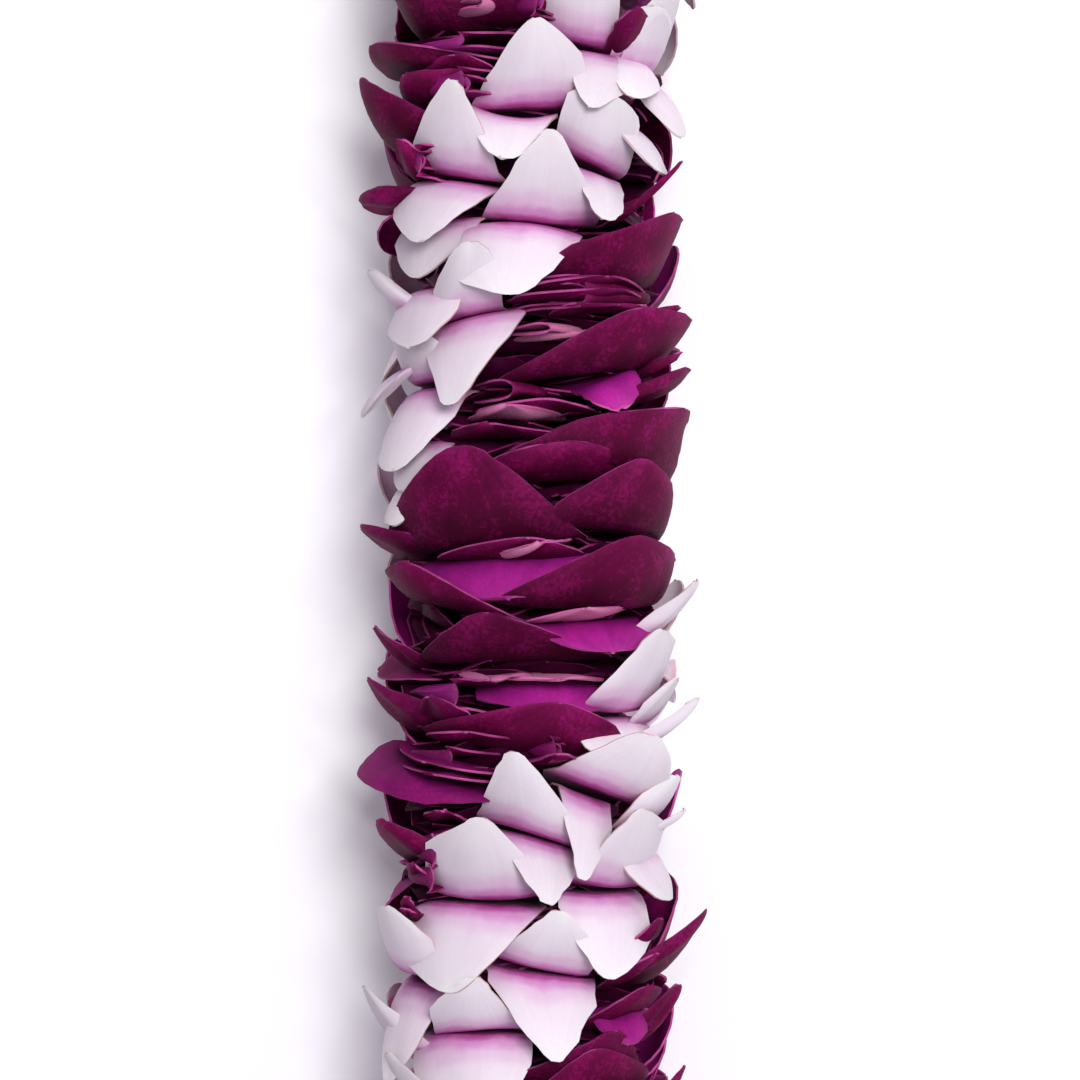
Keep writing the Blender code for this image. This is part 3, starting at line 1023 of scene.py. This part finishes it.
    purple((-20, -37), (-6, -39), (-15, -38), bend=30, proud=1.4),
    purple((-3, -36.5), (8.7, -36.5), (5, -34.5), bend=40),
    purple((-24, -34), (-5, -42.5), (-28.8, -39.6), 0.1, 0.6, 0.08, glow=0.35, deep=-4),
    purple((-16, -33), (0.6, -33), (-10, -31), bend=30),
    purple((-16.5, -46), (-8.1, -46), (-14, -44), bend=40),
    purple((-18.2, -64), (-16.3, -64), (-19.8, -58.5)),
    purple((-22, -52.8), (-12.5, -51.5), (-24.5, -46.6), 0.8, 0.4, 0.5, deep=-3),
    purple((-18.2, -56), (-14.4, -56), (-19, -53), bend=40),
    purple((-18.2, -63), (-16.2, -63), (-20, -60.5), bend=40),
    # Folded petals, which show as hairpins on edge.
    hairpin((1, 87), -9, 2.6),
    hairpin((2, 87), -6, 1.5, glow=0.8),
    hairpin((-8, 87), 8, 0.7, pale=0.8),
    hairpin((-11, 81), -17, 1.3, glow=0.8),
    hairpin((-11, 74.5), -12, 2.2, glow=0.6),
    hairpin((-10, 74), -9, 1.3, glow=0.9),
    hairpin((-18, 62), -7, 2.6, proud=-2),
    hairpin((-17.5, 62), -4, 1.4, inner=0.4, proud=-2),
    hairpin((9, 40), 19, 2.6),
    hairpin((9, 39.5), 15, 1.7),
    hairpin((9, 39), 11, 0.9),
    hairpin((3, 34), 12, 0.6, pale=0.6, proud=-3),
    hairpin((-3, 24), 12, 1.3),
    hairpin((-12, -25.5), -13, 2.4, glow=0.9),
    hairpin((-13, -36), -14, 1.9),
    hairpin((4, -34.5), -9, 2.2),
    hairpin((5, -34.8), -6, 1.2),
    hairpin((-15.5, -51.5), -6, 2.8),
    hairpin((-16, -56), -5, 2.4),
    # The near end, below the lower crossing.
    purple((2, -92), (19, -91), (11.5, -82.6), 0.3, 0.4, deep=-2, glow=0.2),
    purple((3, -93.5), (18, -93.5), (11, -100), 0.5, 0.5, glow=0.7),
    purple((-15, -103), (3, -104), (-5, -93), 0.3, 0.3),
    purple((3, -103), (20, -102), (12, -92.5), 0.3, 0.4),
    white((-22, -95), (-13, -96), (-23, -85), 0.5, 0.5, 0.3),
    white((-21, -97), (-12, -98), (-22, -107), 0.5, 0.5, 0.3),
    purple((17, -100), (24, -98), (26, -88)),
    purple((11.5, -72), (17.8, -74.6), (29.8, -62.3), 0.4, 0.4, 0.3),
    purple((13, -73.5), (20.5, -73), (21.5, -68), 0.5, 0.5),
    purple((18, -68.5), (23, -67.5), (21.5, -62.4)),
    purple((7.5, -80.8), (17.5, -78.5), (19.3, -73.2), 0.3, 0.7, 0.2),
    purple((9.2, -77), (17.7, -77), (17, -82.5), 0.4, 0.4, 0.2, glow=0.6),
    purple((14.2, -83), (17.4, -84.8), (25, -74), 0.3, 0.3, 0.25),
    purple((-3.7, -90), (16.5, -90), (14, -80)),
)


@dataclass
class Garland:
    """All the blossoms of the lei, and the rules by which they are strung."""

    strand: Strand
    bunches: int
    turns: int = 8
    columns: int = 12
    rows: int = 52
    white_half_sector: float = math.radians(60)
    seed: int = 7
    front_start: float = -104 * MM  # where the front run's laid petals start, from its middle
    front_end: float = 96 * MM  # and where they end
    front_angle: float = math.radians(100)  # and how far round the thread they go
    fill_rows: int = 600
    fill_columns: int = 5
    row_play: float = 0.14  # how far a blossom strays along the thread, in rows
    angle_play: float = 0.1  # and how far round it
    fill_row_play: float = 0.4
    fill_angle_play: float = 0.3
    half_parting: float = 0.35 * MM  # half the gap between a white blossom's two roots
    petals: dict[tuple[Bloom, int], list[Petal]] = field(default_factory=dict)

    FILL_TIPS = {Bloom.WHITE: (15.5, 18.5), Bloom.PURPLE: (19.5, 22.5)}  # how far out, in mm

    @property
    def pitch(self) -> float:
        """How far along the strand the stripe goes in one turn."""
        return self.strand.length / self.turns

    @property
    def front_middle(self) -> float:
        """The middle of the front run, along the thread."""
        return self.strand.length / 4

    def stripe_angle(self, along: float) -> float:
        """Where the middle of the white stripe is, round the strand."""
        return math.pi + math.tau * (along - self.front_middle) / self.pitch

    def bloom_at(self, along: float, angle: float) -> Bloom:
        """Which colour of blossom grows here."""
        off = (angle - self.stripe_angle(along) + math.pi) % math.tau - math.pi
        return Bloom.WHITE if abs(off) < self.white_half_sector else Bloom.PURPLE

    def add(self, bloom: Bloom, petal: Petal) -> None:
        """Puts a petal in the bunch that it grows from."""
        share = petal.along / self.strand.length % 1.0
        bunch = int(share * self.bunches)
        self.petals.setdefault((bloom, bunch), []).append(petal)

    def string(self) -> None:
        """Strings every blossom by rule, in columns. Every other column is set half a row on."""
        draw = random.Random(self.seed)
        row_gap = self.strand.length / self.rows
        for column in range(self.columns):
            for row in range(self.rows):
                stray = draw.uniform(-self.row_play, self.row_play)
                along = (row + 0.5 * (column % 2) + stray) * row_gap
                angle = math.tau * column / self.columns
                angle += draw.uniform(-self.angle_play, self.angle_play)
                if self.is_laid(along, angle):
                    continue
                if self.bloom_at(along, angle) is Bloom.WHITE:
                    self.white_blossom(along, angle, draw)
                else:
                    self.purple_blossom(along, angle, draw)

    def is_laid(self, along: float, angle: float) -> bool:
        """Whether the petals here are listed one by one."""
        off = (angle + math.pi) % math.tau - math.pi
        reached = self.front_start < along - self.front_middle < self.front_end
        return reached and abs(off) < self.front_angle

    def lay_front(self) -> None:
        """Lays the front run's petals."""
        draw = random.Random(self.seed + 1)
        for laid in FRONT_RUN:
            self.add(laid.bloom, laid.petal(self.front_middle, draw))

    def white_blossom(self, along: float, angle: float, draw: random.Random) -> None:
        """A white blossom: a long upper petal and a shorter lower one."""
        tilt = draw.gauss(0, 0.16)
        tone = draw.random()
        crease = draw.uniform(18.5, 20.5) * MM
        for side in (1, -1):
            lean = draw.uniform(11.5, 14.5) if side > 0 else -draw.uniform(8.5, 12.0)
            self.add(
                Bloom.WHITE,
                Petal(
                    along=along + side * self.half_parting,
                    angle=angle,
                    lean=lean * MM,
                    half_width=draw.uniform(8.0, 9.8) * MM,
                    crease=crease,
                    tip=draw.uniform(27.0, 28.8) * MM,
                    bend=math.radians(draw.uniform(62, 84)),
                    shift=draw.gauss(0, 1.6) * MM,
                    tilt=tilt,
                    bow=draw.gauss(0, 0.8) * MM,
                    cup=draw.uniform(1.5, 3.5) * MM,
                    twist=draw.gauss(0, 1.3) * MM,
                    wrap=0.9,
                    shoulder=draw.uniform(0.05, 0.45),
                    skew=draw.gauss(0, 0.2),
                    soft=0.12,
                    end=draw.uniform(0.06, 0.25),
                    round_tip=draw.uniform(10.0, 20.0),
                    ruffle=draw.uniform(0.2, 0.6) * MM,
                    phase=draw.random(),
                    tone=tone_near(tone, 0.15, draw),
                    # The lower petal's back faces up and shows the lighter back colours in full, painted
                    # light.
                    glow=1.0,
                ),
            )

    def purple_blossom(self, along: float, angle: float, draw: random.Random) -> None:
        """A purple blossom: broad outer petals, with ruffled inner ones seen on edge between them."""
        tilt = draw.gauss(0, 0.2)
        tone = draw.random()
        crease = draw.uniform(16.5, 19.0) * MM
        leans = [draw.uniform(13.0, 17.5), draw.uniform(4.0, 7.0), draw.uniform(0.5, 2.5)]
        leans.append(-draw.uniform(3.0, 9.0))
        for place, lean in enumerate(leans):
            outer = place in (0, len(leans) - 1)
            self.add(
                Bloom.PURPLE,
                Petal(
                    along=along + (1.2 - 0.8 * place) * MM,
                    angle=angle + draw.gauss(0, 0.12),
                    lean=lean * MM,
                    half_width=(draw.uniform(12.0, 16.0) if outer else draw.uniform(7.0, 11.0)) * MM,
                    crease=crease - (0 if outer else 2 * MM),
                    tip=(draw.uniform(25.2, 27.4) if outer else draw.uniform(21.0, 24.5)) * MM,
                    bend=math.radians(draw.uniform(60, 80) if outer else draw.uniform(40, 70)),
                    shift=draw.gauss(0, 2.2) * MM,
                    tilt=tilt + draw.gauss(0, 0.08),
                    bow=draw.gauss(-1.0, 1.2) * MM,
                    cup=draw.uniform(0.5, 2.5) * MM,
                    twist=draw.gauss(0, 1.0) * MM,
                    shoulder=draw.uniform(0.05, 0.5),
                    skew=draw.gauss(0, 0.2),
                    soft=0.4,
                    end=draw.uniform(0.06, 0.3),
                    round_tip=draw.uniform(10.0, 20.0),
                    ruffle=draw.uniform(0.4, 1.2) * MM,
                    phase=draw.random(),
                    tone=tone_near(tone, 0.2, draw),
                    glow=draw.random(),
                    # Inner petals are half darkened to the heart colour, partly painted shade.
                    inner=0.0 if outer else 0.5,
                    coarse=0.0 if outer else 1.0,
                ),
            )

    def fill(self) -> None:
        """Fills the heart with short petals on edge, close together, which show in every gap, dark
        partly as painted shade.
        """
        draw = random.Random(self.seed + 2)
        for row in range(self.fill_rows):
            for place in range(self.fill_columns):
                stray = draw.uniform(-self.fill_row_play, self.fill_row_play)
                along = (row + stray) * self.strand.length / self.fill_rows
                angle = math.tau * (place + 0.5 * (row % 2)) / self.fill_columns
                angle += draw.uniform(-self.fill_angle_play, self.fill_angle_play)
                bloom = self.bloom_at(along, angle)
                tip = draw.uniform(*self.FILL_TIPS[bloom]) * MM
                self.add(
                    bloom,
                    Petal(
                        along=along,
                        angle=angle,
                        lean=draw.gauss(0, 2.0) * MM,
                        half_width=draw.uniform(8.0, 12.0) * MM,
                        crease=tip - draw.uniform(4.0, 8.0) * MM,
                        tip=tip,
                        bend=math.radians(draw.uniform(20, 50)),
                        shift=draw.gauss(0, 2.0) * MM,
                        tilt=draw.gauss(0, 0.22),
                        bow=draw.gauss(0, 1.5) * MM,
                        cup=draw.uniform(0.0, 2.0) * MM,
                        end=draw.uniform(0.3, 0.8),
                        soft=0.4,
                        round_tip=4.0,
                        stem=3.5 * MM,
                        ruffle=draw.uniform(0.3, 1.0) * MM,
                        phase=draw.random(),
                        tone=draw.random(),
                        glow=draw.random() ** 2,
                        inner=1.0,
                        coarse=1.0,
                    ),
                )


@dataclass
class Lei:
    """The lei: its thread and its bunches of blossoms."""

    strand: Strand
    bunches: int
    petal_thickness: float = 0.38 * MM
    stem_share: float = 0.36
    root_radius: float = 2.0 * MM
    tip_half_width: float = 0.6 * MM
    tear: float = 2.4 * MM
    press_height: float = 3.0 * MM
    floor_gap: float = 0.5 * MM
    fine: tuple[int, int] = (14, 18)  # columns and rows of a petal's sheet
    plain: tuple[int, int] = (7, 9)
    coarse: tuple[int, int] = (6, 6)  # for the petals of the heart
    fine_bunches: range = range(3, 9)  # the ones along the front run
    cotton_scale: float = 900.0
    cotton_shades: tuple[float, float] = (0.62, 0.86)
    cotton_blue: float = 0.62
    cotton_roughness: float = 0.9

    def dress_thread(self, node: bpy.types.Object) -> None:
        """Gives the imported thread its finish."""
        material, shader = add_material("cotton_thread")
        g = Graph(material.node_tree)
        noise = g.noise(g.node("ShaderNodeTexCoord").outputs["Object"], Scale=self.cotton_scale)
        span = dict(zip(("To Min", "To Max"), self.cotton_shades))
        shade = g.node("ShaderNodeMapRange", {"Value": noise} | span).outputs[0]
        parts = {"Red": shade, "Green": shade, "Blue": self.cotton_blue}
        tint = g.node("ShaderNodeCombineColor", parts)
        g.feed(shader.inputs["Base Color"], tint.outputs[0])
        shader.inputs["Roughness"].default_value = self.cotton_roughness
        node.data.materials.clear()
        node.data.materials.append(material)

    def build(self, garland: Garland) -> None:
        """Grows every bunch and stands it in for its CAD node."""
        tree = PetalTree()
        guide = self.strand.guide()
        finishes = {Bloom.WHITE: WHITE_FINISH.material(), Bloom.PURPLE: PURPLE_FINISH.material()}
        for bloom, bunch in sorted(garland.petals, key=lambda place: (place[0].value, place[1])):
            petals = garland.petals[bloom, bunch]
            columns, rows = self.fine if bunch in self.fine_bunches else self.plain
            node = f"{bloom.value}_{bunch + 1:02d}"
            piece = tree.grow(
                f"{node}_petals",
                petals,
                {
                    "Strand": guide,
                    "Finish": finishes[bloom],
                    "Strand Length": self.strand.length,
                    "Thickness": self.petal_thickness,
                    "Stem Share": self.stem_share,
                    "Root Radius": self.root_radius,
                    "Tip Half Width": self.tip_half_width,
                    "Tear": self.tear,
                    "Press Height": self.press_height,
                    "Floor Gap": self.floor_gap,
                    "Columns": columns,
                    "Rows": rows,
                    "Coarse Columns": self.coarse[0],
                    "Coarse Rows": self.coarse[1],
                },
            )
            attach(piece, "root")
            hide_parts(node)
            log.info("%s: %d petals, %d faces", piece.name, len(petals), len(piece.data.polygons))
        bpy.data.objects.remove(guide)


@dataclass
class Studio:
    """The plain pale floor, the soft light from one side and the camera above."""

    frame_width: float = 178 * MM
    lens: float = 110.0
    focus_height: float = 42 * MM
    sensor: float = 36.0
    centre: tuple[float, float] = (81 * MM, 0.0)  # the middle of the front run
    floor_reach: float = 3.0
    floor_color: Color = (0.97, 0.965, 0.98, 1)
    floor_roughness: float = 0.8
    key_place: tuple[float, float, float] = (0.36, 0.34, 1.3)
    key_size: float = 0.5
    key_power: float = 15.0
    key_color: Color = (1.0, 0.99, 1.0, 1)
    room_color: Color = (0.9, 0.88, 1.0, 1)
    room_strength: float = 0.55

    def floor(self) -> None:
        """A plain pale floor."""
        mesh = bpy.data.meshes.new("floor")
        sides = [(-1, -1), (1, -1), (1, 1), (-1, 1)]
        corners = [(x * self.floor_reach, y * self.floor_reach, 0) for x, y in sides]
        mesh.from_pydata(corners, [], [(0, 1, 2, 3)])
        floor = add_object("floor", mesh)
        material, shader = add_material("pale_floor")
        shader.inputs["Base Color"].default_value = self.floor_color
        shader.inputs["Roughness"].default_value = self.floor_roughness
        mesh.materials.append(material)

    def lamp(self) -> None:
        """A square soft light that faces the middle of the front run."""
        light = bpy.data.lights.new("key", "AREA")
        light.size = self.key_size
        light.energy = self.key_power
        light.color = self.key_color[:3]
        lamp = add_object("key", light)
        lamp.location = self.key_place
        target = Vector((*self.centre, 0.0))
        lamp.rotation_euler = (target - lamp.location).to_track_quat("-Z", "Y").to_euler()

    def camera(self) -> None:
        """A camera straight above the middle of the front run."""
        data = bpy.data.cameras.new("camera")
        data.lens = self.lens
        data.sensor_width = self.sensor
        camera = add_object("camera", data)
        distance = self.frame_width * self.lens / self.sensor
        camera.location = (*self.centre, self.focus_height + distance)
        bpy.context.scene.camera = camera

    def build(self) -> None:
        """Sets up everything round the lei."""
        self.floor()
        self.lamp()
        world = bpy.data.worlds.new("soft_room")
        world.use_nodes = True
        background = world.node_tree.nodes["Background"]
        background.inputs["Color"].default_value = self.room_color
        background.inputs["Strength"].default_value = self.room_strength
        bpy.context.scene.world = world
        bpy.context.scene.view_settings.view_transform = "Standard"
        self.camera()


def main() -> None:
    """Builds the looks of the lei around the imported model."""
    logging.basicConfig(level=logging.INFO, format="%(message)s")
    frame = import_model()
    bunches = sum(name.startswith(Bloom.WHITE.value) for name in frame["nodes"])
    strand = Strand.from_frame()
    log.info("strand %.1f mm round", strand.length / MM)
    garland = Garland(strand, bunches)
    garland.string()
    garland.lay_front()
    garland.fill()
    lei = Lei(strand, bunches)
    lei.dress_thread(frame["nodes"]["thread"])
    lei.build(garland)
    Studio().build()


if __name__ == "__main__":
    main()
